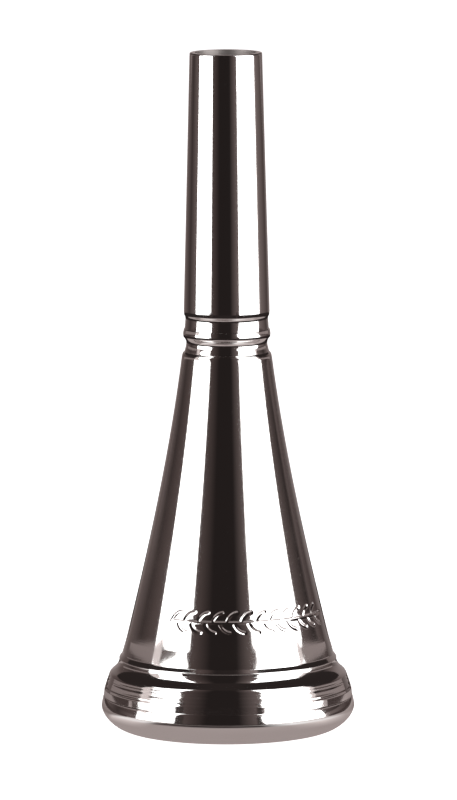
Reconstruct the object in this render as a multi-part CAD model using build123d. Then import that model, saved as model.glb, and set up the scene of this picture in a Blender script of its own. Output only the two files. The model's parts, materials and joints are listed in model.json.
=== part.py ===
"""Horn mouthpiece with a screw rim, standing on its rim.

Millimetres. The origin is on the mouthpiece's axis, in the plane that the rim's crown
touches, and +Z runs along the axis from the rim to the end of the shank.
Each piece is one turning: a half section in the XZ plane, revolved about Z.
Section points are (radius, height).
"""
import os

from build123d import *

# Rim
crown_r = 10.2  # radius of the circle on which the rim rests
rim_r = 12.7
rim_widest_z = 2.4
rim_back = (12.57, 2.92)
bite_r = 8.75  # inside radius of the rim: a 17.5 mm cup
bite_z = 1.6
outer_fullness = 0.44  # 0.55 would be a quarter ellipse
inner_fullness = 0.55

# Seam between rim and body, and the screw joint inside it
seam_z = 3.35
seam_r = 12.39
thread_r = 9.5
thread_clearance = 0.05
skirt_top_z = 6.35
skirt_end_gap = 0.05
skirt_chamfer = 0.25
relief_depth = 0.45
relief_height = 0.45

# Air passage
skirt_inner_r = 7.9
cup_slope = -0.28  # radius per height where the cup crosses the skirt's end
cup_reach = 9.0
skirt_reach = 1.6
throat_r = 2.3
throat_bottom_z = 28.0
throat_length = 3.0
throat_reach = 7.0
backbore_end_r = 3.05

# Outside of the body, from the seam up
swell_r = 12.47
swell_bottom_z = 3.75
swell_mid = (12.29, 4.5)
swell_top = (11.96, 5.2)
flare_mid = (11.89, 5.52)
flare_low = (11.62, 5.78)
flare_handle_low = (11.28, 6.1)
flare_handle_high = (10.87, 6.2)
flare_high = (10.86, 6.5)
bead_crest = (10.92, 6.82)
bead_top = (10.85, 7.12)
step_bottom = (10.59, 7.53)
step_top = (10.52, 8.02)
collar_top = (10.27, 8.85)
cone_bottom = (10.24, 9.2)
cone_bottom_slope = -0.249
cone_top = (4.514, 37.42)
cone_top_slope = -0.131
cone_reach = 9.4
shoulder_mid = (4.43, 37.86)
shoulder_top = (4.24, 38.06)
lower_groove = (4.05, 38.93)
ring_edge = (4.34, 39.62)
ring_crest = (4.37, 39.72)
ring_shoulder = (4.355, 39.82)
ring_top = (4.25, 40.3)
upper_groove_edge = (4.235, 40.78)
upper_groove = (4.12, 41.15)
lip_edge = (4.25, 41.62)
lip_crest = (4.265, 41.72)
lip_shoulder = (4.255, 41.82)
lip_neck = (4.22, 42.06)

# Shank: No. 0 Morse taper, which is the taper of a horn's mouthpiece receiver
shank_end_r = 3.62
shank_taper = 0.05205  # on the diameter
shank_bottom_z = 42.45
overall_length = 68.0
shank_end_round = 0.12


def shank_radius(z):
    """Radius of the tapered shank at height z."""
    return shank_end_r + shank_taper / 2 * (overall_length - z)


def at(point):
    """Section point (radius, height) as a point of the XZ plane."""
    return Vector(point[0], 0, point[1])


def lines(*points):
    """Straight runs through section points."""
    return [Line(at(a), at(b)) for a, b in zip(points, points[1:])]


def arc(start, middle, end):
    return [ThreePointArc(at(start), at(middle), at(end))]


def quarter_round(flat_end, upright_end, fullness):
    """Rounding that lies level at flat_end and stands upright at upright_end."""
    (r0, z0), (r1, z1) = flat_end, upright_end
    handle_0 = (r0 + fullness * (r1 - r0), z0)
    handle_1 = (r1, z1 + fullness * (z0 - z1))
    return [Bezier(at(flat_end), at(handle_0), at(handle_1), at(upright_end))]


def sweep_curve(start, start_slope, start_reach, end, end_slope, end_reach):
    """Smooth curve between two heights; slopes are radius per height."""
    handle_0 = (start[0] + start_slope * start_reach, start[1] + start_reach)
    handle_1 = (end[0] - end_slope * end_reach, end[1] - end_reach)
    return [Bezier(at(start), at(handle_0), at(handle_1), at(end))]


def turned(edges):
    """Solid of revolution of a closed half section."""
    face = make_face(Wire(edges))
    return revolve(face, Axis.Z, 360)


def rim_outline():
    """Rim with the cushioned face, the bite and the threaded skirt."""
    crown = (crown_r, 0)
    widest = (rim_r, rim_widest_z)
    bite = (bite_r, bite_z)
    skirt_end = (skirt_inner_r, skirt_top_z)
    screw_r = thread_r - thread_clearance
    relief_r = screw_r - relief_depth
    edges = quarter_round(crown, widest, outer_fullness)
    edges += arc(widest, rim_back, (seam_r, seam_z))
    edges += lines(
        (seam_r, seam_z),
        (relief_r, seam_z),
        (relief_r, seam_z + relief_height),
        (screw_r, seam_z + relief_height + relief_depth),
        (screw_r, skirt_top_z - skirt_chamfer),
        (screw_r - skirt_chamfer, skirt_top_z),
        skirt_end,
    )
    edges += sweep_curve(bite, 0, skirt_reach, skirt_end, cup_slope, skirt_reach)
    edges += quarter_round(crown, bite, inner_fullness)
    return edges


def cup_body_outline():
    """Cup, throat, backbore and shank in one turning, with the socket for the rim."""
    socket_top_z = skirt_top_z + skirt_end_gap
    mouth = (skirt_inner_r + cup_slope * skirt_end_gap, socket_top_z)
    throat_bottom = (throat_r, throat_bottom_z)
    throat_top = (throat_r, throat_bottom_z + throat_length)
    shank_bottom = (shank_radius(shank_bottom_z), shank_bottom_z)
    rounding_z = overall_length - shank_end_round
    shank_top = (shank_radius(rounding_z), rounding_z)
    end_face = (shank_top[0] - shank_end_round, overall_length)
    backbore_end = (backbore_end_r, overall_length)
    socket_top = (thread_r, socket_top_z)
    swell_bottom = (swell_r, swell_bottom_z)

    edges = lines(socket_top, (thread_r, seam_z), (seam_r, seam_z), swell_bottom)
    edges += arc(swell_bottom, swell_mid, swell_top)
    edges += arc(swell_top, flare_mid, flare_low)
    edges += [Bezier(*map(at, (flare_low, flare_handle_low, flare_handle_high, flare_high)))]
    edges += arc(flare_high, bead_crest, bead_top)
    edges += lines(bead_top, step_bottom, step_top, collar_top, cone_bottom)
    edges += sweep_curve(cone_bottom, cone_bottom_slope, cone_reach, cone_top, cone_top_slope, cone_reach)
    edges += arc(cone_top, shoulder_mid, shoulder_top)
    edges += lines(shoulder_top, lower_groove, ring_edge)
    edges += arc(ring_edge, ring_crest, ring_shoulder)
    edges += lines(ring_shoulder, ring_top, upper_groove_edge, upper_groove, lip_edge)
    edges += arc(lip_edge, lip_crest, lip_shoulder)
    edges += lines(lip_shoulder, lip_neck, shank_bottom, shank_top)
    edges += quarter_round(end_face, shank_top, inner_fullness)
    edges += lines(end_face, backbore_end, throat_top, throat_bottom)
    edges += sweep_curve(mouth, cup_slope, cup_reach, throat_bottom, 0, throat_reach)
    edges += lines(mouth, socket_top)
    return edges


os.makedirs("parts", exist_ok=True)
for name, outline in (("rim", rim_outline), ("cup_body", cup_body_outline)):
    piece = turned(outline())
    piece.label = name
    export_step(piece, f"parts/{name}.step")
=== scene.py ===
"""Silver-plated horn mouthpiece with a screw rim, in a soft-box studio."""
import json
import math

import bpy
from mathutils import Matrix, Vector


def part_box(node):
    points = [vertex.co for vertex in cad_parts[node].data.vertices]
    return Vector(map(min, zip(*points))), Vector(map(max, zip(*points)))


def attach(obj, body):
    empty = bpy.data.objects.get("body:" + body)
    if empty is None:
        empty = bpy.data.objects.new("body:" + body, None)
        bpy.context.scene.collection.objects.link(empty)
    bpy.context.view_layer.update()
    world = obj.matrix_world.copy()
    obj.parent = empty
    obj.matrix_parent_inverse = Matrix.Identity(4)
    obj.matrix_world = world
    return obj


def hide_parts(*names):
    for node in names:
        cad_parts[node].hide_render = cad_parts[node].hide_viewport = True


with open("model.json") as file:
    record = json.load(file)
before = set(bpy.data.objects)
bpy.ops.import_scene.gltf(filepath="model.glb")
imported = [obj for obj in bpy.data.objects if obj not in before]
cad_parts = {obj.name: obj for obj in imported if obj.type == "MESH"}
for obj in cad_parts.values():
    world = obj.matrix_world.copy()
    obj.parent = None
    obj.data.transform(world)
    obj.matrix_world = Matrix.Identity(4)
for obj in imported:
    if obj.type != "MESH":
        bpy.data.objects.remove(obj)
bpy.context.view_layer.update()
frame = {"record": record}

MM = 0.001

# Heights and radii that the frame fixes, in millimetres
_, rim_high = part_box("rim")
body_low, body_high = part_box("cup_body")
mounts = {mount["name"]: mount for mount in frame["record"]["mounts"]}
rim_r = rim_high.x / MM
skirt_top_z = rim_high.z / MM
seam_z = body_low.z / MM
overall_length = body_high.z / MM
throat_r = mounts["throat"]["dims"]["r_mm"]
throat_length = mounts["throat"]["dims"]["length_mm"]
throat_bottom_z = mounts["throat"]["pos_m"][2] / MM - throat_length / 2
crown_r = mounts["rim_face"]["dims"]["r_mm"]

# Rim, millimetres
rim_widest_z = 2.3
rim_back = (12.61, 2.85)
bite_r = 8.75
bite_z = 1.6
outer_fullness = 0.44
inner_fullness = 0.55

# Seam and screw joint
seam_r = 12.48
seam_chamfer = 0.02
thread_r = 9.5
thread_clearance = 0.05
thread_pitch = 0.75
thread_depth = 0.42
thread_runout = 0.35
tooth_steepness = 2.6
tooth_flat = 0.15
skirt_end_gap = 0.05
skirt_chamfer = 0.25
relief_depth = 0.45
relief_height = 0.45
skirt_inner_r = 7.9
skirt_reach = 1.6
rim_thread_start = 0.6
rim_thread_overrun = 0.2
socket_thread_start = 0.1
brass_inner_r = 8.8
brass_outer_r = 9.7
socket_brass_overrun = 0.04

# Air passage of the body
cup_slope = -0.28
cup_reach = 9.0
throat_reach = 7.0
backbore_end_r = 3.05

# Outside of the body, from the seam up
swell_low = (12.42, 4.0)
swell_mid = (12.23, 4.6)
swell_top = (11.98, 5.3)
flare_mid = (11.86, 5.6)
flare_low = (11.66, 5.83)
flare_handle_low = (11.22, 6.18)
flare_handle_high = (10.94, 6.5)
flare_high = (10.89, 7.03)
bead_crest = (10.915, 7.11)
bead_top = (10.875, 7.2)
collar_bottom = (10.62, 7.53)
collar_mid = (10.41, 8.30)
collar_top = (10.185, 9.08)
cone_bottom = (10.17, 9.13)
cone_bottom_slope = -0.249
cone_top = (4.53, 37.42)
cone_top_slope = -0.131
cone_reach = 9.4
shoulder_top = (4.24, 38.06)
lower_groove = (4.055, 38.95)
ring_edge = (4.335, 39.55)
ring_crest = (4.372, 39.8)
ring_shoulder = (4.345, 40.08)
ring_top = (4.30, 40.31)
upper_groove_edge = (4.222, 40.36)
upper_groove = (4.15, 41.1)
lip_edge = (4.25, 41.74)
lip_crest = (4.281, 41.98)
lip_shoulder = (4.287, 42.3)
shank_end_r = 3.62
shank_taper = 0.05205
shank_bottom_z = 42.45
shank_end_round = 0.12

# Slope and reach with which a curve leaves its lower end and meets its upper one
cone_curve = (cone_bottom_slope, cone_reach), (cone_top_slope, cone_reach)
shoulder_curve = (cone_top_slope, 0.42), (-2.6, 0.055)
lower_groove_curve = (-0.25, 0.3), (0, 0.3)
ring_curve = (0, 0.26), (1.0, 0.15)
upper_groove_curve = (-0.13, 0.25), (-0.06, 0.2)
lip_curve = (-0.06, 0.3), (1.0, 0.13)

# Ridges left by the turning tool on the swell
swell_ridges = 3.3
swell_ridge_depth = 0.010
ridge_fade = 6
ridge_mean, ridge_change, ridge_change_rate = 0.75, 0.35, 9

# Engraved sprig on the cone
sprig_z = 12.05
sprig_half_height = 1.45
sprig_start = math.radians(-126.5)
sprig_arc = math.radians(106)
leaf_pairs = 12
leaf_length = 1.5
leaf_lean = math.radians(38)
stroke_half_width = 0.19
stroke_depth = 0.075
stroke_steepness = 1.5
leaf_points = 5
stem_points = 64

# Shares of a leaf's length, of the leaves' pitch and of the sprig's arc
leaf_step = 0.21
leaf_bow = 0.45
leaf_lift = 0.14
upper_leaf_start = 0.1
lower_leaf_start = 0.6
stem_share = 1.05

# Rows and segments of the turnings
cone_samples = 1200
engraved_row_pitch = 0.07
plain_row_pitch = 1.1
engraved_row_margin = 0.1
rim_segments = 256
body_segments = 302
engraved_segments = 230.0
margin_before_sprig = math.radians(2)
margin_after_sprig = math.radians(4)
sharp_edge = math.radians(35)
weld_distance = 1e-7


# ---------------------------------------------------------------- node graphs
class Wire:
    """An output of a node graph; arithmetic on it adds Math nodes."""

    def __init__(self, graph, socket):
        self.graph = graph
        self.socket = socket

    def maths(self, operation, *others):
        """Math node whose first value is this wire."""
        return self.graph.maths(operation, self, *others)

    def __add__(self, other):
        return self.maths("ADD", other)

    def __radd__(self, other):
        return self.graph.maths("ADD", other, self)

    def __sub__(self, other):
        return self.maths("SUBTRACT", other)

    def __rsub__(self, other):
        return self.graph.maths("SUBTRACT", other, self)

    def __mul__(self, other):
        return self.maths("MULTIPLY", other)

    def __rmul__(self, other):
        return self.graph.maths("MULTIPLY", other, self)

    def __truediv__(self, other):
        return self.maths("DIVIDE", other)

    def __rtruediv__(self, other):
        return self.graph.maths("DIVIDE", other, self)

    def __neg__(self):
        return self.maths("MULTIPLY", -1.0)

    def __abs__(self):
        return self.maths("ABSOLUTE")

    def __gt__(self, other):
        return self.maths("GREATER_THAN", other)

    def __lt__(self, other):
        return self.maths("LESS_THAN", other)

    def __mod__(self, other):
        return self.maths("FLOORED_MODULO", other)

    def clamped(self):
        return self.graph.add("ShaderNodeClamp", {0: self})


class Graph:
    """A node tree that is filled node by node."""

    def __init__(self, tree):
        self.tree = tree

    def feed(self, socket, value):
        if isinstance(value, Wire):
            self.tree.links.new(value.socket, socket)
        elif value is not None:
            socket.default_value = value

    def node(self, kind, inputs=None, **settings):
        node = self.tree.nodes.new(kind)
        for name, value in settings.items():
            setattr(node, name, value)
        for key, value in (inputs or {}).items():
            self.feed(node.inputs[key], value)
        return node

    def add(self, kind, inputs=None, output=0, **settings):
        node = self.node(kind, inputs, **settings)
        return Wire(self, node.outputs[output])

    def maths(self, operation, *values):
        return self.add("ShaderNodeMath", dict(enumerate(values)), operation=operation)

    def vector(self, x=0.0, y=0.0, z=0.0):
        return self.add("ShaderNodeCombineXYZ", {0: x, 1: y, 2: z})

    def coordinates(self, vector):
        """The x, y and z of a vector."""
        node = self.node("ShaderNodeSeparateXYZ", {0: vector})
        return [Wire(self, output) for output in node.outputs]

    def mixed(self, share, first, second):
        """Colour that goes from first to second as share goes from 0 to 1."""
        inputs = {"Factor": share, 6: first, 7: second}
        return self.add("ShaderNodeMix", inputs, 2, data_type="RGBA")

    def cover(self, shader):
        """Closes a material with its output."""
        self.node("ShaderNodeOutputMaterial", {0: shader})


def geometry_graph(name, inputs):
    """Geometry tree with named inputs: (name, socket type, default)."""
    tree = bpy.data.node_groups.new(name, "GeometryNodeTree")
    interface = tree.interface
    interface.new_socket("Geometry", in_out="INPUT", socket_type="NodeSocketGeometry")
    interface.new_socket("Geometry", in_out="OUTPUT", socket_type="NodeSocketGeometry")
    for label, kind, default in inputs:
        socket = interface.new_socket(label, in_out="INPUT", socket_type=kind)
        if default is not None:
            socket.default_value = default
    graph = Graph(tree)
    source = graph.node("NodeGroupInput")
    wires = {socket.name: Wire(graph, socket) for socket in source.outputs if socket.name}
    return graph, wires


def end_graph(graph, geometry, material):
    """Closes a geometry tree with Realize Instances and Set Material."""
    real = graph.add("GeometryNodeRealizeInstances", {0: geometry})
    painted = graph.add("GeometryNodeSetMaterial", {"Geometry": real, "Material": material})
    sink = graph.node("NodeGroupOutput")
    graph.feed(sink.inputs[0], painted)


def grown(obj, graph, values):
    """Runs a geometry tree on obj and leaves obj with the plain mesh that comes out."""
    modifier = obj.modifiers.new(graph.tree.name, "NODES")
    modifier.node_group = graph.tree
    for item in graph.tree.interface.items_tree:
        if item.in_out == "INPUT" and item.name in values:
            modifier[item.identifier] = values[item.name]
    bpy.context.view_layer.update()
    evaluated = obj.evaluated_get(bpy.context.evaluated_depsgraph_get())
    mesh = bpy.data.meshes.new_from_object(evaluated)
    obj.modifiers.remove(modifier)
    old = obj.data
    obj.data = mesh
    bpy.data.meshes.remove(old)


# ---------------------------------------------------------------- half sections
def run(start, end, steps=1, ease=0.02):
    """Straight stretch with support points just inside both ends."""
    length = math.dist(start, end)
    inset = min(ease, length / 4) / length
    shares = [0, inset] + [i / steps for i in range(1, steps)] + [1 - inset]
    return [tuple(a + (b - a) * s for a, b in zip(start, end)) for s in shares]


def bend(p0, p1, p2, p3, steps):
    """Cubic curve through its two outer points."""
    points = []
    for i in range(steps):
        t = i / steps
        weights = ((1 - t) ** 3, 3 * t * (1 - t) ** 2, 3 * t * t * (1 - t), t**3)
        weighed = [(w * r, w * z) for w, (r, z) in zip(weights, (p0, p1, p2, p3))]
        points.append(tuple(sum(values) for values in zip(*weighed)))
    return points


def arc(start, middle, end, steps):
    """Circular arc through three points."""
    (x1, y1), (x2, y2), (x3, y3) = start, middle, end
    d = 2 * (x1 * (y2 - y3) + x2 * (y3 - y1) + x3 * (y1 - y2))
    s1, s2, s3 = x1 * x1 + y1 * y1, x2 * x2 + y2 * y2, x3 * x3 + y3 * y3
    cx = (s1 * (y2 - y3) + s2 * (y3 - y1) + s3 * (y1 - y2)) / d
    cy = (s1 * (x3 - x2) + s2 * (x1 - x3) + s3 * (x2 - x1)) / d
    radius = math.dist(start, (cx, cy))
    a1, a2, a3 = (math.atan2(y - cy, x - cx) for x, y in (start, middle, end))
    sweep = (a3 - a1) % math.tau
    if (a2 - a1) % math.tau > sweep:
        sweep -= math.tau
    angles = [a1 + sweep * i / steps for i in range(steps)]
    return [(cx + radius * math.cos(a), cy + radius * math.sin(a)) for a in angles]


def quarter_round(flat_end, upright_end, fullness, steps):
    """Rounding that lies level at flat_end and stands upright at upright_end."""
    (r0, z0), (r1, z1) = flat_end, upright_end
    handles = (r0 + fullness * (r1 - r0), z0), (r1, z1 + fullness * (z0 - z1))
    return bend(flat_end, *handles, upright_end, steps)


def sweep_curve(start, end, leaving, meeting, steps):
    """Smooth curve between two heights; leaving and meeting are (radius per height, reach)."""
    (start_slope, start_reach), (end_slope, end_reach) = leaving, meeting
    handle_0 = (start[0] + start_slope * start_reach, start[1] + start_reach)
    handle_1 = (end[0] - end_slope * end_reach, end[1] - end_reach)
    return bend(start, handle_0, handle_1, end, steps)


def backwards(points, end):
    """The same stretch walked from its end to its start."""
    return [end] + points[:0:-1]


def shank_radius(z):
    return shank_end_r + shank_taper / 2 * (overall_length - z)


def rim_section():
    """Half section of the rim, from its crown up the outside and down the inside."""
    crown, widest, bite = (crown_r, 0.0), (rim_r, rim_widest_z), (bite_r, bite_z)
    screw_r = thread_r - thread_clearance
    relief_r = screw_r - relief_depth
    seam_edge = (seam_r, seam_z - seam_chamfer)
    seam_inner = (seam_r - seam_chamfer, seam_z)
    relief_top = (relief_r, seam_z + relief_height)
    screw_bottom = (screw_r, seam_z + relief_height + relief_depth)
    screw_top = (screw_r, skirt_top_z - skirt_chamfer)
    skirt_outer = (screw_r - skirt_chamfer, skirt_top_z)
    skirt_inner = (skirt_inner_r, skirt_top_z)
    points = quarter_round(crown, widest, outer_fullness, 22)
    points += arc(widest, rim_back, seam_edge, 10)
    points += run(seam_edge, seam_inner)
    points += run(seam_inner, (relief_r, seam_z), 2)
    points += run((relief_r, seam_z), relief_top, 2)
    points += run(relief_top, screw_bottom, 3)
    points += run(screw_bottom, screw_top, 30)
    points += run(screw_top, skirt_outer, 3)
    points += run(skirt_outer, skirt_inner, 2)
    inner = sweep_curve(bite, skirt_inner, (0, skirt_reach), (cup_slope, skirt_reach), 12)
    points += backwards(inner, skirt_inner)
    points += backwards(quarter_round(crown, bite, inner_fullness, 14), bite)
    return points


def tool_marks(start, middle, end, ridges, depth, steps=44):
    """Convex stretch with shallow rounded ridges left by the turning tool."""
    points = []
    for i, (r, z) in enumerate(arc(start, middle, end, steps)):
        share = i / steps
        fade = min(1.0, ridge_fade * share, ridge_fade * (1 - share))
        wave = (1 - math.cos(math.tau * ridges * share)) / 2
        height = ridge_mean + ridge_change * math.sin(ridge_change_rate * share)
        points.append((r - depth * fade * wave * height, z))
    return points


def cone_points():
    """Outside of the cone, from its foot up, closely sampled."""
    return sweep_curve(cone_bottom, cone_top, *cone_curve, cone_samples)


def cone_section():
    """Outside of the cone, with close rows where the sprig is engraved."""
    low = sprig_z - sprig_half_height
    high = sprig_z + sprig_half_height
    margin = engraved_row_margin
    points = []
    for r, z in cone_points():
        engraved = low - margin < z < high + margin
        pitch = engraved_row_pitch if engraved else plain_row_pitch
        last_z = points[-1][1] if points else -math.inf
        enters = z > low - margin and last_z < low - 2 * margin
        if z - last_z > pitch or enters:
            points.append((r, z))
    return points


def body_section():
    """Half section of the body, from the socket round the outside to the air passage."""
    socket_top_z = skirt_top_z + skirt_end_gap
    mouth = (skirt_inner_r + cup_slope * skirt_end_gap, socket_top_z)
    socket_top = (thread_r, socket_top_z)
    socket_bottom = (thread_r, seam_z)
    seam_inner = (seam_r - seam_chamfer, seam_z)
    seam_edge = (seam_r, seam_z + seam_chamfer)
    shank_bottom = (shank_radius(shank_bottom_z), shank_bottom_z)
    rounding_z = overall_length - shank_end_round
    shank_top = (shank_radius(rounding_z), rounding_z)
    end_face = (shank_top[0] - shank_end_round, overall_length)
    end_bore = (backbore_end_r, overall_length)
    throat_bottom = (throat_r, throat_bottom_z)
    throat_top = (throat_r, throat_bottom_z + throat_length)

    points = run(socket_top, socket_bottom, 34)
    points += run(socket_bottom, seam_inner, 2)
    points += run(seam_inner, seam_edge)
    points += run(seam_edge, swell_low, 1)
    points += tool_marks(swell_low, swell_mid, swell_top, swell_ridges, swell_ridge_depth)
    points += arc(swell_top, flare_mid, flare_low, 8)
    points += bend(flare_low, flare_handle_low, flare_handle_high, flare_high, 10)
    points += arc(flare_high, bead_crest, bead_top, 8)
    points += run(bead_top, collar_bottom, 1)
    points += arc(collar_bottom, collar_mid, collar_top, 12)
    points += run(collar_top, cone_bottom)
    points += cone_section()
    points += sweep_curve(cone_top, shoulder_top, *shoulder_curve, 10)
    points += sweep_curve(shoulder_top, lower_groove, *lower_groove_curve, 8)
    points += sweep_curve(lower_groove, ring_edge, *ring_curve, 12)
    points += arc(ring_edge, ring_crest, ring_shoulder, 8)
    points += run(ring_shoulder, ring_top, 1, 0.04)
    points += run(ring_top, upper_groove_edge, 1, 0.03)
    points += sweep_curve(upper_groove_edge, upper_groove, *upper_groove_curve, 6)
    points += sweep_curve(upper_groove, lip_edge, *lip_curve, 12)
    points += arc(lip_edge, lip_crest, lip_shoulder, 6)
    points += run(lip_shoulder, shank_bottom, 1, 0.06)
    points += run(shank_bottom, shank_top, 8, 0.06)
    points += backwards(quarter_round(end_face, shank_top, inner_fullness, 5), shank_top)
    points += run(end_face, end_bore, 1)
    points += run(end_bore, throat_top, 8)
    points += run(throat_top, throat_bottom, 2, 0.1)
    cup = sweep_curve(mouth, throat_bottom, (cup_slope, cup_reach), (0, throat_reach), 20)
    points += backwards(cup, throat_bottom)
    points += run(mouth, socket_top, 1)
    return points


def section_object(name, points):
    """Object whose vertices are a half section's points in order."""
    mesh = bpy.data.meshes.new(name)
    mesh.from_pydata([(r * MM, 0, z * MM) for r, z in points], [], [])
    obj = bpy.data.objects.new(name, mesh)
    bpy.context.scene.collection.objects.link(obj)
    return obj


# ---------------------------------------------------------------- geometry trees
def sprig_tree():
    """Leaf strokes on both sides of a stem, laid round the cone."""
    graph, given = geometry_graph(
        "engraved_sprig",
        [
            ("Leaf pairs", "NodeSocketInt", leaf_pairs),
            ("Leaf length", "NodeSocketFloat", leaf_length * MM),
            ("Leaf lean", "NodeSocketFloat", leaf_lean),
            ("Start angle", "NodeSocketFloat", sprig_start),
            ("Arc", "NodeSocketFloat", sprig_arc),
            ("Height", "NodeSocketFloat", sprig_z * MM),
            ("Radius", "NodeSocketFloat", 9.5 * MM),
            ("Slope", "NodeSocketFloat", cone_bottom_slope),
        ],
    )
    length, lean = given["Leaf length"], given["Leaf lean"]
    span = given["Arc"] * given["Radius"]
    pitch = span / given["Leaf pairs"]

    def strokes(side, start):
        """Row of bowed leaves; side is 1 above the stem and -1 below it."""
        offset = graph.vector(pitch)
        row = graph.add(
            "GeometryNodeMeshLine", {"Count": given["Leaf pairs"], "Offset": offset}, mode="OFFSET"
        )
        step = graph.vector(length * leaf_step)
        leaf = graph.add(
            "GeometryNodeMeshLine", {"Count": leaf_points, "Offset": step}, mode="OFFSET"
        )
        share = graph.add("GeometryNodeInputIndex") / (leaf_points - 1.0)
        bow = graph.vector(z=share * (1.0 - share) * length * (leaf_bow * side))
        leaf = graph.add("GeometryNodeSetPosition", {"Geometry": leaf, "Offset": bow})
        turn = graph.vector(y=lean * (-1.0 * side))
        placed = graph.add(
            "GeometryNodeInstanceOnPoints", {"Points": row, "Instance": leaf, "Rotation": turn}
        )
        leaves = graph.add("GeometryNodeRealizeInstances", {0: placed})
        shift = graph.vector(x=pitch * start, z=length * (leaf_lift * side))
        return graph.add("GeometryNodeSetPosition", {"Geometry": leaves, "Offset": shift})

    stem_step = graph.vector(span * (stem_share / (stem_points - 1)))
    stem = graph.add(
        "GeometryNodeMeshLine", {"Count": stem_points, "Offset": stem_step}, mode="OFFSET"
    )
    joined = graph.node("GeometryNodeJoinGeometry")
    for part in (strokes(1.0, upper_leaf_start), strokes(-1.0, lower_leaf_start), stem):
        graph.feed(joined.inputs[0], part)
    flat = Wire(graph, joined.outputs[0])
    along, _, up = graph.coordinates(graph.add("GeometryNodeInputPosition"))
    angle = given["Start angle"] + along / given["Radius"]
    radius = given["Radius"] + up * given["Slope"]
    wrapped = graph.vector(
        radius * angle.maths("COSINE"), radius * angle.maths("SINE"), given["Height"] + up
    )
    wound = graph.add("GeometryNodeSetPosition", {"Geometry": flat, "Position": wrapped})
    end_graph(graph, wound, None)
    return graph


def lathe_tree(material):
    """Turns a half section about Z, cuts the screw thread and engraves the strokes."""
    graph, given = geometry_graph(
        "turning",
        [
            ("Section points", "NodeSocketInt", 100),
            ("Segments", "NodeSocketInt", rim_segments),
            ("Fine start", "NodeSocketFloat", 0.0),
            ("Fine arc", "NodeSocketFloat", math.pi),
            ("Fine segments", "NodeSocketFloat", 128.0),
            ("Thread pitch", "NodeSocketFloat", thread_pitch * MM),
            ("Thread depth", "NodeSocketFloat", thread_depth * MM),
            ("Thread bottom", "NodeSocketFloat", 0.0),
            ("Thread top", "NodeSocketFloat", 0.0),
            ("Thread run-out", "NodeSocketFloat", thread_runout * MM),
            ("Thread radius", "NodeSocketFloat", thread_r * MM),
            ("Strokes", "NodeSocketObject", None),
            ("Stroke half width", "NodeSocketFloat", stroke_half_width * MM),
            ("Stroke depth", "NodeSocketFloat", 0.0),
        ],
    )
    segments, rows = given["Segments"], given["Section points"]
    grid = graph.add(
        "GeometryNodeMeshGrid",
        {"Size X": segments, "Size Y": rows, "Vertices X": segments + 1.0, "Vertices Y": rows + 1.0},
    )
    across, upward, _ = graph.coordinates(graph.add("GeometryNodeInputPosition"))
    column = across + segments * 0.5
    row = (upward + rows * 0.5 + 0.25).maths("FLOOR") % rows
    section_point = graph.add(
        "GeometryNodeSampleIndex",
        {"Geometry": given["Geometry"], "Value": graph.add("GeometryNodeInputPosition"), "Index": row},
        data_type="FLOAT_VECTOR",
    )
    radius, _, height = graph.coordinates(section_point)

    fine = given["Fine segments"]
    in_fine = (column / fine).maths("MINIMUM", 1.0)
    in_coarse = (column - fine).maths("MAXIMUM", 0.0) / (segments - fine)
    coarse_arc = math.tau - given["Fine arc"]
    angle = given["Fine start"] + in_fine * given["Fine arc"] + in_coarse * coarse_arc
    cosine, sine = angle.maths("COSINE"), angle.maths("SINE")

    phase = (height / given["Thread pitch"] - angle / math.tau) % 1.0
    tooth = (abs(phase - 0.5) * tooth_steepness - tooth_flat).clamped()
    fade_in = ((height - given["Thread bottom"]) / given["Thread run-out"]).clamped()
    fade_out = ((given["Thread top"] - height) / given["Thread run-out"]).clamped()
    on_thread = abs(radius - given["Thread radius"]) < thread_clearance * 1.5 * MM
    threaded = radius - tooth * fade_in * fade_out * on_thread * given["Thread depth"]

    turned = graph.vector(threaded * cosine, threaded * sine, height)
    whole = graph.add("GeometryNodeSetPosition", {"Geometry": grid, "Position": turned})
    closed = graph.add("GeometryNodeMergeByDistance", {"Geometry": whole, "Distance": weld_distance})
    x, y, _ = graph.coordinates(graph.add("GeometryNodeInputPosition"))
    skin_r = (x * x + y * y).maths("SQRT")
    strokes = graph.add("GeometryNodeObjectInfo", {"Object": given["Strokes"]}, "Geometry")
    near = graph.add(
        "GeometryNodeProximity", {"Geometry": strokes}, "Distance", target_element="EDGES"
    )
    slope = (1.0 - near / given["Stroke half width"]).clamped()
    cut = (slope * stroke_steepness).maths("MINIMUM", 1.0) * given["Stroke depth"]
    pull = graph.vector(-(x / skin_r) * cut, -(y / skin_r) * cut)
    carved = graph.add("GeometryNodeSetPosition", {"Geometry": closed, "Offset": pull})
    smooth = graph.add("GeometryNodeSetShadeSmooth", {"Geometry": carved, "Shade Smooth": True})
    end_graph(graph, smooth, material)
    return graph


# ---------------------------------------------------------------- materials
def new_material(name):
    material = bpy.data.materials.new(name)
    material.use_nodes = True
    material.node_tree.nodes.clear()
    return material, Graph(material.node_tree)


# Colours of the plate, and its roughness from clean metal up
clean_silver = (0.955, 0.945, 0.935, 1)
tarnished_silver = (0.93, 0.905, 0.875, 1)
# Darker colour for the inside of the bore
darker_bore = (0.44, 0.39, 0.375, 1)
bare_brass = (0.86, 0.66, 0.36, 1)
polished_roughness = 0.068
tarnish_roughness = 0.03
speck_roughness = 0.12
wipe_roughness = 0.08
bore_roughness = 0.42
brass_roughness = 0.16

# Cycles per metre of the marks, across and along the part
turning_line_stretch = (40, 40, 14000)
wipe_stretch = (900, 900, 5200)
patch_scale = 160.0
speck_scale = 2600.0

# Noise level above which a patch tarnishes or a speck wears, and how quickly it does
tarnish_from, tarnish_gain = 0.52, 4.0
wear_from, wear_gain = 0.7, 8.0

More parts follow.
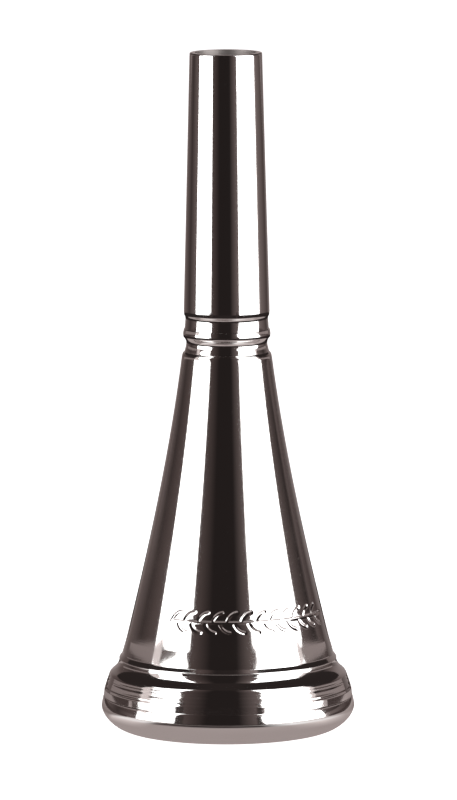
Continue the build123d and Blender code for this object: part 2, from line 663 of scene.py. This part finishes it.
# Shares of the full colour, the bump's strength and its depth in metres
tarnish_share, bore_darkening_share, brass_share = 0.5, 0.8, 0.75
mark_strength = 0.04
mark_depth = 0.00002
bore_margin = 0.04


def noise(graph, place, scale, detail, roughness):
    inputs = {"Vector": place, "Scale": scale, "Detail": detail, "Roughness": roughness}
    return graph.add("ShaderNodeTexNoise", inputs)


def stretched_noise(graph, place, stretch, detail, roughness):
    place = graph.add("ShaderNodeMapping", {"Vector": place, "Scale": stretch})
    return noise(graph, place, 1.0, detail, roughness)


def silver_plate(name, brass_between):
    """Polished silver plate with faint marks, worn to brass on the thread between two heights."""
    material, graph = new_material(name)
    place = graph.add("ShaderNodeTexCoord", None, "Object")
    x, y, z = graph.coordinates(place)
    radius = (x * x + y * y).maths("SQRT")

    lines = stretched_noise(graph, place, turning_line_stretch, 3.0, 0.6)
    wipes = stretched_noise(graph, place, wipe_stretch, 4.0, 0.65)
    patches = noise(graph, place, patch_scale, 3.0, 0.55)
    specks = noise(graph, place, speck_scale, 2.0, 0.5)

    tarnish = ((patches - tarnish_from) * tarnish_gain).clamped()
    worn = ((specks - wear_from) * wear_gain).clamped()
    in_bore = (radius < (backbore_end_r + bore_margin) * MM) * (z > throat_bottom_z * MM)
    low, high = brass_between
    at_thread = (radius > brass_inner_r * MM) * (radius < brass_outer_r * MM)
    on_brass = (z > low * MM) * (z < high * MM) * at_thread

    colour = graph.mixed(tarnish * tarnish_share, clean_silver, tarnished_silver)
    # Darker and rougher inside the bore
    colour = graph.mixed(in_bore * bore_darkening_share, colour, darker_bore)
    colour = graph.mixed(on_brass * brass_share, colour, bare_brass)
    rough = polished_roughness + tarnish * tarnish_roughness + worn * speck_roughness
    rough = rough + abs(wipes - 0.5) * wipe_roughness
    rough = rough + in_bore * bore_roughness + on_brass * brass_roughness
    relief = lines * 0.6 + wipes * 0.3 + specks * 0.1
    bump = graph.add(
        "ShaderNodeBump", {"Strength": mark_strength, "Distance": mark_depth, "Height": relief}
    )
    graph.cover(graph.add(
        "ShaderNodeBsdfPrincipled",
        {"Base Color": colour, "Metallic": 1.0, "Roughness": rough, "Normal": bump},
    ))
    return material


# ---------------------------------------------------------------- pieces
def finish_piece(obj, body):
    obj.data.set_sharp_from_angle(angle=sharp_edge)
    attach(obj, body)
    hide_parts(body)


def make_rim(material):
    points = rim_section()
    obj = section_object("rim_turning", points)
    values = {
        "Section points": len(points),
        "Segments": rim_segments,
        "Thread bottom": (seam_z + relief_height + relief_depth * rim_thread_start) * MM,
        "Thread top": (skirt_top_z + rim_thread_overrun) * MM,
        "Thread radius": (thread_r - thread_clearance) * MM,
    }
    grown(obj, lathe_tree(material), values)
    finish_piece(obj, "rim")


def sprig_strokes():
    """Edges of the sprig, laid on the cone."""
    strokes = section_object("engraved_strokes", [(0.0, 0.0)])
    heights = sprig_z - sprig_half_height, sprig_z, sprig_z + sprig_half_height
    curve = cone_points()
    low, middle, high = (min(curve, key=lambda p: abs(p[1] - z)) for z in heights)
    values = {
        "Radius": middle[0] * MM,
        "Height": middle[1] * MM,
        "Slope": (high[0] - low[0]) / (high[1] - low[1]),
    }
    grown(strokes, sprig_tree(), values)
    return strokes


def make_body(material):
    strokes = sprig_strokes()
    points = body_section()
    obj = section_object("cup_body_turning", points)
    values = {
        "Section points": len(points),
        "Segments": body_segments,
        "Fine start": sprig_start - margin_before_sprig,
        "Fine arc": margin_before_sprig + sprig_arc + margin_after_sprig,
        "Fine segments": engraved_segments,
        "Thread bottom": (seam_z + socket_thread_start) * MM,
        "Thread top": (skirt_top_z + skirt_end_gap) * MM,
        "Strokes": strokes,
        "Stroke depth": stroke_depth * MM,
    }
    grown(obj, lathe_tree(material), values)
    bpy.data.objects.remove(strokes)
    finish_piece(obj, "cup_body")


rim_silver = silver_plate("silver_plated_rim", (seam_z, skirt_top_z))
body_silver = silver_plate("silver_plated_body", (seam_z, skirt_top_z + socket_brass_overrun))
make_rim(rim_silver)
make_body(body_silver)


# ---------------------------------------------------------------- studio
def glow(name, colour, strength=1.0):
    material, graph = new_material(name)
    graph.cover(graph.add("ShaderNodeEmission", {"Color": (*colour, 1), "Strength": strength}))
    return material


def card(name, rows, radius, material, steps=24):
    """Upright curved card; each row is (height, azimuth of its left edge, of its right edge).

    Azimuth 0 faces the camera and grows to the camera's right.
    """
    verts, faces = [], []
    for height, left, right in rows:
        for i in range(steps + 1):
            azimuth = math.radians(left + (right - left) * i / steps)
            verts.append((radius * math.sin(azimuth), -radius * math.cos(azimuth), height))
    for j in range(len(rows) - 1):
        for i in range(steps):
            a = j * (steps + 1) + i
            faces.append((a, a + 1, a + steps + 2, a + steps + 1))
    stage_mesh(name, verts, faces, material)


def band(name, columns, radius, material, pitch=3.0):
    """Upright curved strip; columns are (azimuth, bottom height, top height)."""
    verts, faces = [], []
    for (start, *low_high), (end, *next_low_high) in zip(columns, columns[1:]):
        steps = math.ceil((end - start) / pitch)
        for i in range(steps + 1):
            share = i / steps
            azimuth = math.radians(start + (end - start) * share)
            for low, high in zip(low_high, next_low_high):
                height = low + (high - low) * share
                verts.append((radius * math.sin(azimuth), -radius * math.cos(azimuth), height))
            if i:
                a = len(verts) - 4
                faces.append((a, a + 2, a + 3, a + 1))
    stage_mesh(name, verts, faces, material)


def stage_mesh(name, verts, faces, material, seen_by=("glossy", "diffuse")):
    mesh = bpy.data.meshes.new(name)
    mesh.from_pydata(verts, [], faces)
    mesh.materials.append(material)
    obj = bpy.data.objects.new(name, mesh)
    bpy.context.scene.collection.objects.link(obj)
    obj.visible_camera = "camera" in seen_by
    obj.visible_glossy = "glossy" in seen_by
    obj.visible_diffuse = "diffuse" in seen_by
    obj.visible_transmission = False
    obj.visible_volume_scatter = False
    obj.visible_shadow = False


def grey(level):
    """Linear colour of a warm grey; level is the mean of its three channels on a screen, 0 to 255."""
    warmth = 0 if level > 240 else min(1.0, level / 70, (250 - level) / 40)
    channels = level + 8.5 * warmth, level - 3.5 * warmth, level - 5.5 * warmth
    return tuple(((min(c, 255) / 255 + 0.055) / 1.055) ** 2.4 for c in channels)


def tone_ramp(graph, turn, stops):
    """Colour by azimuth; stops are (azimuth, grey level)."""
    ramp = graph.node("ShaderNodeValToRGB", {0: turn})
    elements = ramp.color_ramp.elements
    for element, (azimuth, level) in zip(elements, (stops[0], stops[-1])):
        element.position = azimuth / 360 + 0.5
        element.color = (*grey(level), 1)
    for azimuth, level in stops[1:-1]:
        elements.new(azimuth / 360 + 0.5).color = (*grey(level), 1)
    return Wire(graph, ramp.outputs[0])


def tones(name, *rings):
    """Glow that changes with azimuth and with distance from the axis, painting light and shade on
    stage cards; rings are (distance, stops).
    """
    material, graph = new_material(name)
    x, y, _ = graph.coordinates(graph.add("ShaderNodeTexCoord", None, "Object"))
    turn = x.maths("ARCTAN2", -y) / math.tau + 0.5
    distance = (x * x + y * y).maths("SQRT")
    inner, stops = rings[0]
    colour = tone_ramp(graph, turn, stops)
    for outer, stops in rings[1:]:
        share = ((distance - inner) / (outer - inner)).clamped()
        colour = graph.mixed(share, colour, tone_ramp(graph, turn, stops))
        inner = outer
    graph.cover(graph.add("ShaderNodeEmission", {"Color": colour}))
    return material


# Cards stand on circles of these radii, in metres, behind one another
softbox_radius = 0.55
softbox_rim_radius = softbox_radius - 0.01
flag_radius = softbox_radius - 0.015
upper_wall_radius = softbox_radius + 0.015
wall_radius = softbox_radius + 0.02
wall_bottom, wall_top, front_top = -0.04, 0.19, 1.2
softbox_strength = 2.8

softbox = glow("softbox_cloth", (1.0, 0.995, 0.99), softbox_strength)
softbox_rim = glow("softbox_rim_cloth", grey(205))
left_softbox = (
    (-0.04, -91, -42.5),
    (0.012, -91, -42.5),
    (0.03, -91, -42),
    (0.10, -91, -42.5),
    (0.165, -91.5, -44.5),
    (0.185, -91.5, -44.5),
    (0.20, -91.5, -48.5),
    (0.44, -91.5, -49),
    (0.58, -76, -49),
    (0.75, -62, -49),
    (0.9, -50, -49),
)
right_softbox = (
    (-0.04, 34, 98),
    (0.03, 34, 98),
    (0.10, 31, 95),
    (0.13, 29.5, 91),
    (0.165, 28.5, 91),
    (0.185, 28.5, 91),
    (0.20, 33.5, 91),
    (0.44, 33.5, 91),
    (0.58, 33.5, 77),
    (0.75, 33.5, 60),
    (0.9, 33.5, 45),
)
card("softbox_left", left_softbox, softbox_radius, softbox)
card("softbox_right", right_softbox, softbox_radius, softbox)
card("softbox_left_rim", ((0.115, -92, -81), (0.40, -92, -81)), softbox_rim_radius, softbox_rim)
card("softbox_right_rim", ((0.115, 86, 92), (0.40, 86, 92)), softbox_rim_radius, softbox_rim)
# The flag is a dim glowing card, no lamp: its grey is painted light on a dark flag.
flag = ((-82, 0.128, 0.192), (-62, 0.178, 0.193), (-57, 0.189, 0.191))
band("flag", flag, flag_radius, glow("flag_cloth", grey(84)))

# The walls glow though they are no lamps: their tones by azimuth are painted light and shade of the
# room round the part.
wall_painted_light = tones("studio_wall_tones", (0.0, (
    (-180, 160), (-150, 90), (-120, 50), (-95, 90), (-45, 70), (-20, 30), (10, 30), (30, 90),
    (95, 180), (105, 100), (140, 60), (180, 160),
)))
upper_wall_tones = tones("upper_wall_tones", (0.0, (
    (-180, 150), (-150, 80), (-120, 50), (-95, 70), (95, 80), (120, 40), (140, 90), (180, 150),
)))
whole_wall = ((wall_bottom, -180, 180), (wall_top, -180, 180))
back_wall = ((0.042, 90, 270), (wall_top, 90, 270))
front_wall = ((wall_top, -60, 50), (front_top, -60, 50))
card("studio_wall", whole_wall, wall_radius, wall_painted_light, 180)
card("upper_wall", back_wall, upper_wall_radius, upper_wall_tones, 90)
card("studio_front", front_wall, wall_radius, wall_painted_light, 60)

# Tent behind the part: (turn from the back's middle, bottom height, top height) on each side
# The tent glows though it is no lamp: its tones are painted light and shade.
tent_tones = tones("tent_tones", (0.0, ((-180, 160), (-140, 120), (140, 130), (180, 160))))
tent_shape = ((88.5, 0.114, 0.165), (70, 0.082, 0.13), (50, 0.041, 0.085), (38, 0.015, 0.055))
for side in (-1, 1):
    columns = [(180 + side * turn, low, high) for turn, low, high in tent_shape]
    band(f"tent_back_{side + 1}", sorted(columns), softbox_radius, tent_tones)


def level_band(name, left, right, top, radius, material):
    """Strip of even height that stands on the table."""
    band(name, ((left, 0.0, top), (right, 0.0, top)), radius, material)


# Dark glowing strips on the table, close round the part: painted shade, dark lines in the mirrored
# table
side_painted_shade = glow("side_edge_tone", grey(48))
level_band("table_lip", -92, -44, 0.0013, 0.067, glow("table_lip_tone", grey(58)))
level_band("back_lip", 92, 268, 0.0024, 0.044, glow("back_lip_tone", grey(58)))
level_band("front_lip", -43, 33, 0.002, 0.032, glow("front_lip_tone", grey(34)))
level_band("low_edge_left", -47, -39, 0.034, 0.1, side_painted_shade)
level_band("low_edge_right", 25, 29.5, 0.034, 0.1, side_painted_shade)


def disc(name, radius, z, material, seen_by, steps=96):
    angles = [math.tau * i / steps for i in range(steps)]
    ring = [(radius * math.cos(angle), radius * math.sin(angle), z) for angle in angles]
    stage_mesh(name, ring, [tuple(range(steps))], material, seen_by)


def cloth(name, colour, own_light):
    material, graph = new_material(name)
    inputs = {
        "Base Color": (*colour, 1),
        "Roughness": 0.9,
        "Specular IOR Level": 0.1,
        "Emission Color": (*colour, 1),
        "Emission Strength": own_light,
    }
    graph.cover(graph.add("ShaderNodeBsdfPrincipled", inputs))
    return material


def dome(name, radius, bottom, material, steps=48, rows=12):
    """Half sphere, open at the bottom."""
    verts, faces = [], []
    for i in range(steps):
        azimuth = math.tau * i / steps
        for j in range(rows + 1):
            lift = math.pi / 2 * j / rows
            out, height = radius * math.cos(lift), radius * math.sin(lift) + bottom
            verts.append((out * math.cos(azimuth), out * math.sin(azimuth), height))
    for i in range(steps):
        for j in range(rows):
            a = i * (rows + 1) + j
            b = (i + 1) % steps * (rows + 1) + j
            faces.append((a, b, b + 1, a + 1))
    stage_mesh(name, verts, faces, material, ("camera",))


# Table that the metal mirrors, and the white paper that the camera sees
# The table glows though it is no lamp: its tones by azimuth and distance are painted light from the
# softboxes and painted shade close round the part's foot.
table_tones = tones(
    "table_tones",
    (0.0127, ((-180, 150), (180, 150))),
    (0.0152, (
        (-180, 150), (-95, 140), (-85, 210), (-60, 200), (-45, 150), (35, 160), (60, 210), (90, 160),
        (180, 150),
    )),
    (0.0170, (
        (-180, 160), (-130, 110), (-95, 120), (-80, 230), (-55, 230), (-45, 60), (-20, 35), (20, 35),
        (40, 240), (70, 230), (95, 150), (130, 120), (180, 160),
    )),
    (0.0420, (
        (-180, 150), (-95, 130), (-80, 230), (-45, 150), (0, 140), (35, 220), (90, 160), (180, 150),
    )),
    (0.0500, ((-180, 160), (-90, 150), (-85, 210), (0, 150), (85, 200), (95, 160), (180, 160))),
)
table_radius = 0.09
paper_radius = 2.1
floor_z = -0.00005
dome_bottom = -0.001
floor_paper = cloth("floor_paper", (0.95, 0.95, 0.95), 1.1)
disc("table_top", table_radius, 0.0, table_tones, ("glossy",))
disc("floor", paper_radius, floor_z, floor_paper, ("camera",))
dome("backdrop", paper_radius, dome_bottom, glow("backdrop_paper", (1.0, 1.0, 1.0)))

world = bpy.data.worlds.new("dark_studio")
bpy.context.scene.world = world
world.use_nodes = True
world.node_tree.nodes["Background"].inputs[0].default_value = (*grey(36), 1)

scene = bpy.context.scene
scene.view_settings.view_transform = "Standard"
scene.view_settings.look = "None"

# Camera: a long lens, a little above the part and looking slightly down
camera_place = (0.00049, -0.760, 0.13536)
camera_downward = math.radians(7.662)
camera_roll = math.radians(0.19)
camera_data = bpy.data.cameras.new("camera")
camera_data.sensor_width = 36.0
camera_data.lens = 345.0
camera_data.clip_start = 0.05
camera_data.clip_end = 50.0
camera = bpy.data.objects.new("camera", camera_data)
scene.collection.objects.link(camera)
camera.location = camera_place
camera.rotation_euler = (math.pi / 2 - camera_downward, camera_roll, 0.0)
scene.camera = camera
